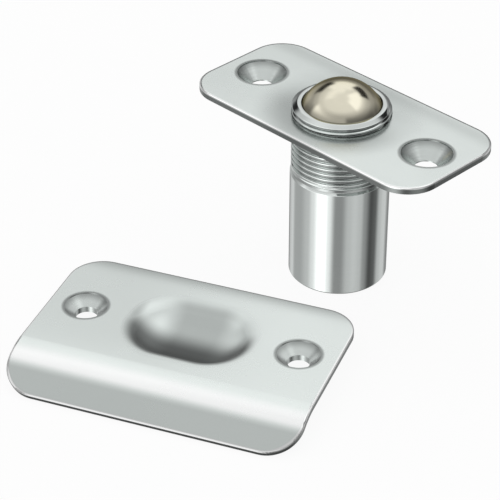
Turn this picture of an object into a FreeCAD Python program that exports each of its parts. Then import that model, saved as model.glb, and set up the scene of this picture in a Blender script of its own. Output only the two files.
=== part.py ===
"""Ball catch with its full-lip strike plate, in millimetres, +Z up.

The catch stands on the foot of its barrel. The origin is the centre of that foot, +X runs along
the faceplate and +Z up the barrel to the ball. The strike plate lies beside it, on its lip and
its dimple, turned a little about Z.
"""
import FreeCAD, Part
import math
import os

import Sketcher

Vector = FreeCAD.Vector

# Fixed numbers: a whole turn in degrees, how far two equal heights may differ in millimetres, how
# much of a normal points up on a face that looks up, and how much of a turn one arc of coil takes
FULL_TURN = 360.0
MARGIN = 0.001
UPWARD = 0.5
ARC_TURN = 0.25

SIZES = [
    # Both plates: pressed sheet with dimpled countersinks
    ("sheet_thick", 1.2),
    ("edge_ease", 0.25),
    ("screw_spacing", 39.7),
    ("form_wall", 1.3),
    ("form_foot", 0.95),
    # Faceplate
    ("face_length", 54.0),
    ("face_width", 25.0),
    ("face_corner", 6.35),
    ("face_head_radius", 4.5),
    ("face_screw_radius", 2.1),
    ("face_rim_step", 0.25),
    ("face_cone_depth", 2.75),
    ("face_sink_depth", 2.95),
    # Drawn collar that the barrel screws through
    ("collar_height", 2.3),
    ("collar_wall", 1.1),
    ("collar_root", 0.8),
    ("thread_clearance", 0.05),
    # Barrel
    ("barrel_length", 35.0),
    ("barrel_radius", 9.0),
    ("barrel_wall", 1.0),
    ("stub_height", 1.8),
    ("thread_ease", 0.15),
    ("thread_pitch", 1.0583),
    ("thread_depth", 0.5),
    ("thread_crest", 0.2),
    ("thread_root", 0.16),
    ("thread_start", 0.85),
    ("thread_length", 13.45),
    ("relief_width", 0.5),
    ("relief_depth", 0.25),
    ("mouth_bevel_width", 1.0),
    ("mouth_bevel_drop", 0.4),
    ("foot_bevel", 0.35),
    ("lip_hold", 1.0),
    ("ball_clearance", 0.06),
    # End plug
    ("plug_step", 0.35),
    ("plug_thick", 2.0),
    ("plug_bevel", 0.3),
    ("spigot_height", 2.2),
    ("spigot_clearance", 0.25),
    ("spigot_bevel", 0.5),
    # Spring
    ("wire_radius", 0.5),
    ("coil_inset", 2.5),
    ("coil_turns", 4.5),
    ("closed_turns", 0.75),
    ("coil_gap", 0.05),
    ("spring_clearance", 0.05),
    # Strike plate
    ("strike_length", 53.4),
    ("strike_back", 14.2),
    ("strike_corner", 6.2),
    ("bend_reach", 11.9),
    ("bend_radius", 10.5),
    ("bend_angle", 28.0),
    ("lip_length", 6.0),
    ("dimple_length", 22.0),
    ("dimple_width", 16.2),
    ("dimple_corner", 7.5),
    ("dimple_slope", 45.0),
    ("dimple_rim", 4.5),
    ("dimple_floor", 7.5),
    ("strike_head_radius", 3.85),
    ("strike_screw_radius", 2.0),
    ("strike_rim_step", 0.2),
    ("strike_cone_depth", 1.75),
    ("strike_sink_depth", 2.85),
    # Where the strike plate lies beside the catch
    ("strike_across", 0.27),
    ("strike_forward", 37.3),
    ("strike_turn", 24.5),
]

# Heights and radii that follow from the sizes
FACE_TOP = "(Sizes.barrel_length - Sizes.stub_height)"
FACE_UNDER = f"({FACE_TOP} - Sizes.sheet_thick)"
THREAD_RADIUS = "(Sizes.barrel_radius - Sizes.thread_ease)"
HOLE_RADIUS = f"({THREAD_RADIUS} + Sizes.thread_clearance)"
COLLAR_RADIUS = f"({HOLE_RADIUS} + Sizes.collar_wall)"
BORE_RADIUS = "(Sizes.barrel_radius - Sizes.barrel_wall)"
BALL_RADIUS = f"({BORE_RADIUS} - Sizes.ball_clearance)"
LIP_RADIUS = f"({BORE_RADIUS} - Sizes.lip_hold)"
BALL_CENTRE = f"(Sizes.barrel_length - sqrt({BORE_RADIUS}^2 - {LIP_RADIUS}^2))"
THREAD_END = "(Sizes.barrel_length - Sizes.thread_length)"
RELIEF_RADIUS = f"({THREAD_RADIUS} - Sizes.relief_depth)"
GROOVE_WIDTH = "(Sizes.thread_pitch - Sizes.thread_crest)"
PLUG_RADIUS = f"({BORE_RADIUS} + Sizes.plug_step)"
COIL_RADIUS = f"({BORE_RADIUS} - Sizes.coil_inset)"
COIL_INSIDE = f"({COIL_RADIUS} - Sizes.wire_radius)"
SPRING_FOOT = "(Sizes.plug_thick + Sizes.spring_clearance)"
SEAT_REACH = f"({BALL_RADIUS} + Sizes.wire_radius + Sizes.spring_clearance)"
BEND_DROP = "(Sizes.bend_radius * (1 - cos(Sizes.bend_angle)))"
LIP_DROP = "(Sizes.lip_length * sin(Sizes.bend_angle))"
STRIKE_TOP = f"({BEND_DROP} + {LIP_DROP} + Sizes.sheet_thick * cos(Sizes.bend_angle))"
STRIKE_UNDER = f"({STRIKE_TOP} - Sizes.sheet_thick)"

doc = FreeCAD.newDocument("BallCatch")
sheet = doc.addObject("Spreadsheet::Sheet", "Sizes")
for row, (name, size) in enumerate(SIZES, start=1):
    sheet.set(f"A{row}", name)
    sheet.set(f"B{row}", str(size))
    sheet.setAlias(f"B{row}", name)
doc.recompute()


def value(expression):
    """The number that an expression in the sheet's sizes comes to."""
    return float(sheet.evalExpression(str(expression)))


def new_body(label):
    body = doc.addObject("PartDesign::Body", label)
    body.Label = label
    return body


def origin_plane(body, role):
    return next(plane for plane in body.Origin.OriginFeatures if plane.Role == role)


def new_sketch(body, role, across=None, up=None):
    """An empty sketch on an origin plane, shifted across it or lifted off it by an expression."""
    sketch = body.newObject("Sketcher::SketchObject", f"{body.Name}_sketch")
    sketch.AttachmentSupport = [(origin_plane(body, role), "")]
    sketch.MapMode = "FlatFace"
    if across:
        sketch.setExpression("AttachmentOffset.Base.x", across)
    if up:
        sketch.setExpression("AttachmentOffset.Base.z", up)
    return sketch


def tie(sketch, kind, geometry, point, expression):
    """Holds one coordinate of a point of the sketch to an expression."""
    distance = Sketcher.Constraint(kind, -1, 1, geometry, point, value(expression))
    constraint = sketch.addConstraint(distance)
    sketch.setExpression(f"Constraints[{constraint}]", expression)


def minor_arc(centre, start, end):
    """The shorter arc from start to end, and whether it runs that way round."""
    angles = [math.atan2(point.y - centre.y, point.x - centre.x) for point in (start, end)]
    circle = Part.Circle(centre, Vector(0, 0, 1), centre.distanceToPoint(start))
    forward = (angles[1] - angles[0]) % math.tau <= math.pi
    if not forward:
        angles.reverse()
    return Part.ArcOfCircle(circle, *angles), forward


def outline(sketch, corners):
    """A closed outline. Each corner is (across, up), and one that an arc leads on from adds the
    arc's centre: (across, up, centre across, centre up)."""
    points = [Vector(value(corner[0]), value(corner[1]), 0) for corner in corners]
    ends = []
    for index, corner in enumerate(corners):
        start = points[index]
        end = points[(index + 1) % len(points)]
        if len(corner) == 2:
            geometry = sketch.addGeometry(Part.LineSegment(start, end), False)
            ends.append((geometry, 1, 2))
            continue
        centre = Vector(value(corner[2]), value(corner[3]), 0)
        arc, forward = minor_arc(centre, start, end)
        geometry = sketch.addGeometry(arc, False)
        ends.append((geometry, 1, 2) if forward else (geometry, 2, 1))
        chord = end - start
        if abs(chord.y) > abs(chord.x):
            tie(sketch, "DistanceX", geometry, 3, corner[2])
        else:
            tie(sketch, "DistanceY", geometry, 3, corner[3])
    for index, corner in enumerate(corners):
        geometry, first, last = ends[index]
        following, opening, _ = ends[(index + 1) % len(ends)]
        sketch.addConstraint(Sketcher.Constraint("Coincident", geometry, last, following, opening))
        tie(sketch, "DistanceX", geometry, first, corner[0])
        tie(sketch, "DistanceY", geometry, first, corner[1])
    return sketch


def circle(sketch, across, up, radius):
    """A circle about the point (across, up)."""
    centre = Vector(value(across), value(up), 0)
    geometry = sketch.addGeometry(Part.Circle(centre, Vector(0, 0, 1), value(radius)), False)
    tie(sketch, "DistanceX", geometry, 3, across)
    tie(sketch, "DistanceY", geometry, 3, up)
    size = sketch.addConstraint(Sketcher.Constraint("Radius", geometry, value(radius)))
    sketch.setExpression(f"Constraints[{size}]", radius)
    return sketch


def rounded_rectangle(sketch, length, width, corner):
    """A rectangle about the sketch's origin with its corners rounded."""
    far, near = f"({length}) / 2", f"(({length}) / 2 - ({corner}))"
    high, low = f"({width}) / 2", f"(({width}) / 2 - ({corner}))"
    return outline(sketch, [
        (near, f"-({high})", near, f"-{low}"),
        (far, f"-{low}"),
        (far, low, near, low),
        (near, high),
        (f"-{near}", high, f"-{near}", low),
        (f"-({far})", low),
        (f"-({far})", f"-{low}", f"-{near}", f"-{low}"),
        (f"-{near}", f"-({high})"),
    ])


def feature(body, kind, sketch, **settings):
    """A feature of the body made from a sketch. A cut that takes nothing away is an error."""
    before = body.Shape.Volume if body.Tip else 0
    made = body.newObject(kind, f"{body.Name}_{kind.split('::')[1].lower()}")
    made.Profile = sketch
    for setting, given in settings.items():
        if isinstance(given, str) and "Sizes." in given:
            made.setExpression(setting, given)
        else:
            setattr(made, setting, given)
    doc.recompute()
    cuts = kind in ("PartDesign::Pocket", "PartDesign::Groove")
    if cuts and body.Shape.Volume >= before:
        raise RuntimeError(f"{made.Name} cuts nothing")
    return made


def turned(body, kind, sketch):
    """A full turn of the sketch about its own upright axis, added or cut."""
    return feature(body, kind, sketch, ReferenceAxis=(sketch, ["V_Axis"]), Angle=FULL_TURN)


def rounded(body, radius, keep):
    """Rounds the edges of the body so far that the test keeps."""
    base = body.Tip
    shape = base.Shape
    names = [f"Edge{n}" for n, edge in enumerate(shape.Edges, start=1) if keep(edge, shape)]
    made = body.newObject("PartDesign::Fillet", f"{body.Name}_fillet")
    made.Base = (base, names)
    made.setExpression("Radius", radius)
    doc.recompute()
    return made


def faces_up(face):
    """Whether a face of the plain sheet looks upwards, flat or on the bend."""
    low_u, high_u, low_v, high_v = face.ParameterRange
    return face.normalAt((low_u + high_u) / 2, (low_v + high_v) / 2).z > UPWARD


def on_upper_rim(edge, shape):
    """Whether an edge parts the sheet's upper side from its cut edge."""
    sides = shape.ancestorsOfType(edge, Part.Face)
    return sum(faces_up(face) for face in sides) == 1


def within(edge, length, width, height):
    """Whether an edge lies flat at a height and inside a rectangle about the origin."""
    box = edge.BoundBox
    flat = abs(box.ZMin - height) < MARGIN and abs(box.ZMax - height) < MARGIN
    inside = max(-box.XMin, box.XMax) < length / 2 + MARGIN
    return flat and inside and max(-box.YMin, box.YMax) < width / 2 + MARGIN


def screw_dimples(body, top, kind):
    """Two countersinks pressed down into the sheet: a small step, a cone and a short neck."""
    head = f"Sizes.{kind}_head_radius"
    screw = f"Sizes.{kind}_screw_radius"
    step = f"Sizes.{kind}_rim_step"
    cone = f"Sizes.{kind}_cone_depth"
    sink = f"({top} - Sizes.{kind}_sink_depth)"
    slope = f"(({head} - {screw}) / ({cone} - {step}))"
    shoulder = f"({head} - (Sizes.sheet_thick - {step}) * {slope} + Sizes.form_wall)"
    middle = f"({top} - Sizes.sheet_thick / 2)"
    under = f"({top} - Sizes.sheet_thick)"
    place = "Sizes.screw_spacing / 2"
    pressed = outline(new_sketch(body, "XZ_Plane", across=place), [
        ("0", middle),
        ("0", sink),
        (f"{screw} + Sizes.form_foot", sink),
        (shoulder, under),
        (shoulder, middle),
    ])
    wall = turned(body, "PartDesign::Revolution", pressed)
    seat = outline(new_sketch(body, "XZ_Plane", across=place), [
        ("0", f"{top} + Sizes.sheet_thick / 2"),
        ("0", f"{sink} - Sizes.sheet_thick / 2"),
        (screw, f"{sink} - Sizes.sheet_thick / 2"),
        (screw, f"{top} - {cone}"),
        (head, f"{top} - {step}"),
        (head, f"{top} + Sizes.sheet_thick / 2"),
    ])
    hollow = turned(body, "PartDesign::Groove", seat)
    pair = body.newObject("PartDesign::Mirrored", f"{body.Name}_mirrored")
    pair.Originals = [wall, hollow]
    pair.MirrorPlane = (origin_plane(body, "YZ_Plane"), [""])
    body.Tip = pair
    doc.recompute()


def build_faceplate():
    """Rounded sheet with a drawn collar for the barrel and two dimpled screw holes."""
    body = new_body("faceplate")
    blank = rounded_rectangle(
        new_sketch(body, "XY_Plane", up=FACE_UNDER),
        "Sizes.face_length", "Sizes.face_width", "Sizes.face_corner")
    feature(body, "PartDesign::Pad", blank, Length="Sizes.sheet_thick")
    rounded(body, "Sizes.edge_ease", on_upper_rim)
    foot = f"({FACE_UNDER} - Sizes.collar_height)"
    root = f"({FACE_UNDER} - Sizes.collar_root)"
    outer = f"({COLLAR_RADIUS} + Sizes.collar_root)"
    collar = outline(new_sketch(body, "XZ_Plane"), [
        (HOLE_RADIUS, f"{FACE_UNDER} + Sizes.sheet_thick / 2"),
        (HOLE_RADIUS, foot),
        (COLLAR_RADIUS, foot),
        (COLLAR_RADIUS, root, outer, root),
        (outer, FACE_UNDER),
        (outer, f"{FACE_UNDER} + Sizes.sheet_thick / 2"),
    ])
    turned(body, "PartDesign::Revolution", collar)
    hole = circle(new_sketch(body, "XY_Plane", up=FACE_TOP), "0", "0", HOLE_RADIUS)
    feature(body, "PartDesign::Pocket", hole, Length="Sizes.sheet_thick + Sizes.collar_height")
    screw_dimples(body, FACE_TOP, "face")
    return body


def build_barrel():
    """Turned tube: bevelled foot, thread with a relief below it, and a lip that traps the ball."""
    body = new_body("barrel")
    shoulder = f"({THREAD_END} - (Sizes.barrel_radius - {RELIEF_RADIUS}))"
    relief_end = f"({THREAD_END} + Sizes.relief_width)"
    section = outline(new_sketch(body, "XZ_Plane"), [
        (PLUG_RADIUS, "0"),
        ("Sizes.barrel_radius - Sizes.foot_bevel", "0"),
        ("Sizes.barrel_radius", "Sizes.foot_bevel"),
        ("Sizes.barrel_radius", shoulder),
        (RELIEF_RADIUS, THREAD_END),
        (RELIEF_RADIUS, relief_end),
        (THREAD_RADIUS, f"{relief_end} + Sizes.relief_depth"),
        (THREAD_RADIUS, "Sizes.barrel_length - Sizes.mouth_bevel_drop"),
        (f"{THREAD_RADIUS} - Sizes.mouth_bevel_width", "Sizes.barrel_length"),
        (LIP_RADIUS, "Sizes.barrel_length", "0", BALL_CENTRE),
        (BORE_RADIUS, BALL_CENTRE),
        (BORE_RADIUS, "Sizes.plug_thick"),
        (PLUG_RADIUS, "Sizes.plug_thick"),
    ])
    turned(body, "PartDesign::Revolution", section)
    cut_thread(body)
    return body


def cut_thread(body):
    """Rings at the thread's pitch, with its crests, flanks and roots, down to the relief."""
    middle = "(Sizes.barrel_length - Sizes.thread_start)"
    root = f"({THREAD_RADIUS} - Sizes.thread_depth)"
    outside = f"({THREAD_RADIUS} + Sizes.thread_crest)"
    ring = outline(new_sketch(body, "XZ_Plane"), [
        (root, f"{middle} - Sizes.thread_root / 2"),
        (THREAD_RADIUS, f"{middle} - {GROOVE_WIDTH} / 2"),
        (outside, f"{middle} - {GROOVE_WIDTH} / 2"),
        (outside, f"{middle} + {GROOVE_WIDTH} / 2"),
        (THREAD_RADIUS, f"{middle} + {GROOVE_WIDTH} / 2"),
        (root, f"{middle} + Sizes.thread_root / 2"),
    ])
    cut = turned(body, "PartDesign::Groove", ring)
    relief = "Sizes.relief_width + Sizes.relief_depth + Sizes.thread_pitch / 2"
    room = f"(Sizes.thread_length - Sizes.thread_start - ({relief}))"
    rings = body.newObject("PartDesign::LinearPattern", "barrel_thread")
    rings.Originals = [cut]
    rings.Direction = (ring, ["V_Axis"])
    rings.Reversed = True
    rings.setExpression("Occurrences", f"floor({room} / Sizes.thread_pitch) + 1")
    rings.setExpression("Length", f"floor({room} / Sizes.thread_pitch) * Sizes.thread_pitch")
    body.Tip = rings
    doc.recompute()


def build_ball():
    """Steel ball, held up against the lip."""
    ball = doc.addObject("Part::Sphere", "ball")
    ball.Label = "ball"
    ball.setExpression("Radius", BALL_RADIUS)
    ball.setExpression("Placement.Base.z", BALL_CENTRE)
    return ball


def build_end_plug():
    """Disc pressed into the foot of the barrel, with a spigot that centres the spring."""
    body = new_body("end_plug")
    spigot = f"({COIL_INSIDE} - Sizes.spigot_clearance)"
    top = "(Sizes.plug_thick + Sizes.spigot_height)"
    section = outline(new_sketch(body, "XZ_Plane"), [
        ("0", "0"),
        (f"{PLUG_RADIUS} - Sizes.plug_bevel", "0"),
        (PLUG_RADIUS, "Sizes.plug_bevel"),
        (PLUG_RADIUS, "Sizes.plug_thick"),
        (spigot, "Sizes.plug_thick"),
        (spigot, f"{top} - Sizes.spigot_bevel"),
        (f"{spigot} - Sizes.spigot_bevel", top),
        ("0", top),
    ])
    turned(body, "PartDesign::Revolution", section)
    return body


def build_spring():
    """Coil spring with closed ends, one on the plug and one under the ball."""
    foot = value(f"{SPRING_FOOT} + Sizes.wire_radius")
    head = value(f"{BALL_CENTRE} - sqrt({SEAT_REACH}^2 - {COIL_RADIUS}^2)")
    radius = value(COIL_RADIUS)
    turns = value("Sizes.coil_turns")
    closed = value("Sizes.closed_turns")
    shut = value("2 * Sizes.wire_radius + Sizes.coil_gap")
    pitch = (head - foot - 2 * closed * shut) / (turns - 2 * closed)

    def place(turn):
        """The middle of the wire after so many turns from the foot."""
        low = min(turn, closed)
        high = max(turn - (turns - closed), 0)
        rise = shut * (low + high) + pitch * (turn - low - high)
        angle = turn * math.tau
        return Vector(radius * math.cos(angle), radius * math.sin(angle), foot + rise)

    arcs = []
    for step in range(round(turns / ARC_TURN)):
        start = step * ARC_TURN
        arc = Part.Arc(place(start), place(start + ARC_TURN / 2), place(start + ARC_TURN))
        arcs.append(arc.toShape())
    path = doc.addObject("Part::Feature", "spring_path")
    path.Shape = Part.Wire(arcs)
    wire = doc.addObject("Part::Circle", "spring_wire")
    wire.setExpression("Radius", "Sizes.wire_radius")
    along = FreeCAD.Rotation(Vector(0, 0, 1), arcs[0].tangentAt(arcs[0].FirstParameter))
    wire.Placement = FreeCAD.Placement(place(0), along)
    coil = doc.addObject("Part::Sweep", "spring")
    coil.Label = "spring"
    coil.Sections = [wire]
    coil.Spine = (path, [f"Edge{n}" for n in range(1, len(arcs) + 1)])
    coil.Solid = True
    coil.Transition = "Transformed"
    doc.recompute()
    return coil


def build_strike_plate():
    """Sheet with its front edge bent down as a lip, a long dimple for the ball and two screws."""
    body = new_body("strike_plate")
    turn = {"sin": "sin(Sizes.bend_angle)", "cos": "cos(Sizes.bend_angle)"}
    inner = "(Sizes.bend_radius - Sizes.sheet_thick)"
    centre = ("-Sizes.bend_reach", f"{STRIKE_TOP} - Sizes.bend_radius")
    bend_end = f"(-Sizes.bend_reach - Sizes.bend_radius * {turn['sin']})"
    bend_low = f"({STRIKE_TOP} - {BEND_DROP})"
    lip_end = f"({bend_end} - Sizes.lip_length * {turn['cos']})"
    section = outline(new_sketch(body, "YZ_Plane"), [
        ("Sizes.strike_back", STRIKE_TOP),
        ("-Sizes.bend_reach", STRIKE_TOP, *centre),
        (bend_end, bend_low),
        (lip_end, f"{bend_low} - {LIP_DROP}"),
        (f"{lip_end} + Sizes.sheet_thick * {turn['sin']}", "0"),
        (f"-Sizes.bend_reach - {inner} * {turn['sin']}",
         f"{STRIKE_TOP} - Sizes.bend_radius + {inner} * {turn['cos']}", *centre),
        ("-Sizes.bend_reach", STRIKE_UNDER),
        ("Sizes.strike_back", STRIKE_UNDER),
    ])
    feature(body, "PartDesign::Pad", section, Length="Sizes.strike_length", Midplane=True)
    half = value("Sizes.strike_length") / 2
    ends = {value("Sizes.strike_back"), value(lip_end)}

    def at_corner(edge, shape):
        box = edge.BoundBox
        square = edge.Length < 2 * value("Sizes.sheet_thick") and box.XLength < value("Sizes.edge_ease")
        return square and min(abs(box.YMin - end) for end in ends) < value("Sizes.edge_ease")

    rounded(body, "Sizes.strike_corner", at_corner)
    rounded(body, "Sizes.edge_ease", on_upper_rim)
    press_dimple(body)
    screw_dimples(body, STRIKE_TOP, "strike")
    body.Placement.Rotation.Axis = Vector(0, 0, 1)
    body.setExpression("Placement.Base.x", "Sizes.strike_across")
    body.setExpression("Placement.Base.y", "-Sizes.strike_forward")
    body.setExpression("Placement.Rotation.Angle", "Sizes.strike_turn")
    return body


def press_dimple(body):
    """The pressed dimple: the sheet goes down at a slope to a flat foot, at one thickness."""
    top, under = value(STRIKE_TOP), value(STRIKE_UNDER)
    spread = "(2 * Sizes.sheet_thick * tan((90 - Sizes.dimple_slope) / 2))"
    length, width = "Sizes.dimple_length", "Sizes.dimple_width"
    outer_length, outer_width = f"({length} + {spread})", f"({width} + {spread})"
    boss = rounded_rectangle(
        new_sketch(body, "XY_Plane", up=STRIKE_UNDER),
        outer_length, outer_width, f"(Sizes.dimple_corner + {spread} / 2)")
    slope = "-Sizes.dimple_slope"
    feature(body, "PartDesign::Pad", boss, Length=STRIKE_UNDER, TaperAngle=slope, Reversed=True)
    room = (value(outer_length), value(outer_width))
    rounded(body, "Sizes.dimple_floor + Sizes.sheet_thick", lambda edge, shape: within(edge, *room, 0))
    rounded(body, "Sizes.dimple_rim - Sizes.sheet_thick", lambda edge, shape: within(edge, *room, under))
    hollow = rounded_rectangle(
        new_sketch(body, "XY_Plane", up=STRIKE_TOP), length, width, "Sizes.dimple_corner")
    feature(body, "PartDesign::Pocket", hollow, Length=STRIKE_UNDER, TaperAngle=slope)
    room = (value(length), value(width))
    floor = value("Sizes.sheet_thick")
    rounded(body, "Sizes.dimple_floor", lambda edge, shape: within(edge, *room, floor))
    rounded(body, "Sizes.dimple_rim", lambda edge, shape: within(edge, *room, top))


nodes = [
    build_faceplate(),
    build_barrel(),
    build_ball(),
    build_end_plug(),
    build_spring(),
    build_strike_plate(),
]
doc.recompute()

for item in doc.Objects:
    if "Invalid" in item.State or "Error" in item.State:
        raise RuntimeError(f"{item.Name} failed: {item.State}")
for node in nodes:
    shape = node.Shape
    if shape.isNull() or not shape.isValid() or len(shape.Solids) != 1:
        raise RuntimeError(f"{node.Label} is not one valid solid")

os.makedirs("parts", exist_ok=True)
for node in nodes:
    node.Shape.exportStep(f"parts/{node.Label}.step")
    box = node.Shape.BoundBox
    print(f"{node.Label}: {node.Shape.Volume:.1f} mm3, {box.XLength:.2f} x {box.YLength:.2f}"
          f" x {box.ZLength:.2f} mm, from z {box.ZMin:.2f}")
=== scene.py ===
"""Looks, light and camera for the ball catch and its strike plate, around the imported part."""

import math

import bpy
import numpy as np
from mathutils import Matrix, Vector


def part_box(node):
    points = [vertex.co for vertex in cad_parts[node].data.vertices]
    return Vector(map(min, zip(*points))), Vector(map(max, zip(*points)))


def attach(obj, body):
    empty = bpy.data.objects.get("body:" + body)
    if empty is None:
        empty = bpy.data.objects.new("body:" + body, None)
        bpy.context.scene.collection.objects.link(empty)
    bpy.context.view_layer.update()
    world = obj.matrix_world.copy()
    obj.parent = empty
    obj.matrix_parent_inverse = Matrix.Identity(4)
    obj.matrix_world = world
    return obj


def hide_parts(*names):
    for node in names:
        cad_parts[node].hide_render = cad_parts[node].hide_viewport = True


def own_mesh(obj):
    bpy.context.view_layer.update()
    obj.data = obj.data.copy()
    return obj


bl_info = {
    "name": "Ball catch looks",
    "version": (1, 0, 0),
    "blender": (4, 5, 0),
    "location": "3D View > Sidebar > Ball catch",
    "description": "Threaded barrel, ball, spring and plated metals for a ball catch set",
    "category": "Object",
}

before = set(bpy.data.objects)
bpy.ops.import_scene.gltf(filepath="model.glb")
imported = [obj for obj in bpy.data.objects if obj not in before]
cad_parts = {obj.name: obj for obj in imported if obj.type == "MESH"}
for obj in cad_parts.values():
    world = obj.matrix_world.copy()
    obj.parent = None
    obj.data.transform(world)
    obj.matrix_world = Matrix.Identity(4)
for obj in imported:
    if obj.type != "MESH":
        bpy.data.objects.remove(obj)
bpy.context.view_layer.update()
BARREL_LOW, BARREL_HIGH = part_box("barrel")
BALL_LOW, BALL_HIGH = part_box("ball")
SPRING_LOW, SPRING_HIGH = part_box("spring")


# Surfaces

def band(rows, columns, closed):
    """Faces of a grid of points whose columns run all the way round. Each face goes along its
    row, up a column and back, and the last row joins the first where the grid is closed."""
    index = np.arange(rows * columns).reshape(rows, columns)
    beside = np.roll(index, -1, axis=1)
    above = np.roll(index, -1, axis=0)
    faces = np.stack([index, beside, np.roll(beside, -1, axis=0), above], axis=-1)
    return (faces if closed else faces[:-1]).reshape(-1, 4).tolist()


def fan(ring, pole, upper):
    """Triangles from a ring of points to the one point that closes it, above it or below."""
    after = np.roll(ring, -1)
    first, second = (ring, after) if upper else (after, ring)
    return np.stack([first, second, np.full_like(ring, pole)], axis=-1).tolist()


def closed_loop(points):
    """Points and faces of a grid that closes on itself both ways."""
    rows, columns = points.shape[:2]
    return points.reshape(-1, 3), band(rows, columns, True)


def capped_tube(points, first, last):
    """Points and faces of rings of points, closed at each end by a point of its own."""
    rows, columns = points.shape[:2]
    count = rows * columns
    faces = band(rows, columns, False)
    faces += fan(np.arange(columns), count, False)
    faces += fan(np.arange(count - columns, count), count + 1, True)
    return np.concatenate([points.reshape(-1, 3), [first, last]]), faces


def new_object(name, points, faces):
    """An object made of points and faces, linked to the scene."""
    mesh = bpy.data.meshes.new(name)
    mesh.from_pydata(np.asarray(points).tolist(), [], faces)
    made = bpy.data.objects.new(name, mesh)
    bpy.context.scene.collection.objects.link(made)
    return made


def new_piece(name, shape, body, material, node):
    """A smooth piece in its place, that stands for a node of the part."""
    piece = new_object(name, *shape)
    piece.data.shade_smooth()
    piece.data.materials.append(material)
    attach(piece, body)
    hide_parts(node)
    return piece


def ramp(value, low, high):
    """0 up to low, 1 from high on, and a smooth S between them."""
    t = np.clip((value - low) / (high - low), 0, 1)
    return t * t * (3 - 2 * t)


def unit(vectors):
    return vectors / np.linalg.norm(vectors, axis=-1, keepdims=True)


def rounded_outline(corners, steps=6, guard=1.7, same=1e-8):
    """A closed outline of points (r, z) through corners (r, z, rounding). A corner is cut by the
    quadratic curve that starts its rounding before it and ends as far behind it. One more point
    beyond each end of the curve keeps the flats beside it flat. Equal neighbours are dropped."""
    corners = np.array(corners, float)
    place, cut = corners[:, None, :2], corners[:, None, 2:]
    ahead = unit(np.roll(place, -1, axis=0) - place)
    behind = unit(np.roll(place, 1, axis=0) - place)
    t = np.linspace(0, 1, steps)[None, :, None]
    start, end = place + behind * cut, place + ahead * cut
    curve = (1 - t) ** 2 * start + 2 * t * (1 - t) * place + t ** 2 * end
    guards = place + behind * cut * guard, place + ahead * cut * guard
    points = np.concatenate([guards[0], curve, guards[1]], axis=1).reshape(-1, 2)
    apart = np.linalg.norm(points - np.roll(points, 1, axis=0), axis=1) > same
    return points[apart]


# Shader nodes

WHITE, BLACK = (1.0, 1.0, 1.0, 1.0), (0.0, 0.0, 0.0, 1.0)
# How far, in metres, a sharp border between two finishes fades to a side.
SHARP = 0.0001
# Where masks fade: from, to and, where they aren't 0 and 1, the values before and after.
FADES = {
    # Noise values.
    "scratch": (0.0, 0.012, 1.0, 0.0),
    "gate": (0.52, 0.62),
    "smudge": (0.35, 0.68),
    # Metres inside a plate's outline, and below its upper side.
    "outer band": (0.0006, 0.0011, 1.0, 0.0),
    "rim band": (0.0002, 0.00045, 1.0, 0.0),
    "sheared depth": (0.00025, 0.0004),
    "rim depth": (0.0002, 0.00035, 1.0, 0.0),
    # Metres past the end of the strike plate's bend.
    # The lip's painted shade and the bend's painted highlight fade in and out over these.
    "painted lip shade": (-0.0002, 0.0017),
    "bend highlight start": (-0.004, -0.0015),
    "bend highlight end": (-0.0005, 0.001, 1.0, 0.0),
    # Metres across the faceplate, and across and along the dimple.
    "collar front": (-0.006, 0.004, 1.0, 0.35),
    # The dimple's painted shadow fades over the next two, and its painted shade over the third.
    "dimple near half": (-0.0015, 0.0035, 1.0, 0.0),
    "dimple end": (-0.0115, -0.0095, 0.8, 0.0),
    "dimple middle": (0.003, 0.0075),
    # Degrees of elevation, from the floor to the walls and from these to the ceiling.
    "floor line": (-62.0, -46.0),
    "wall top": (-15.0, 28.0),
}


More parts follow.
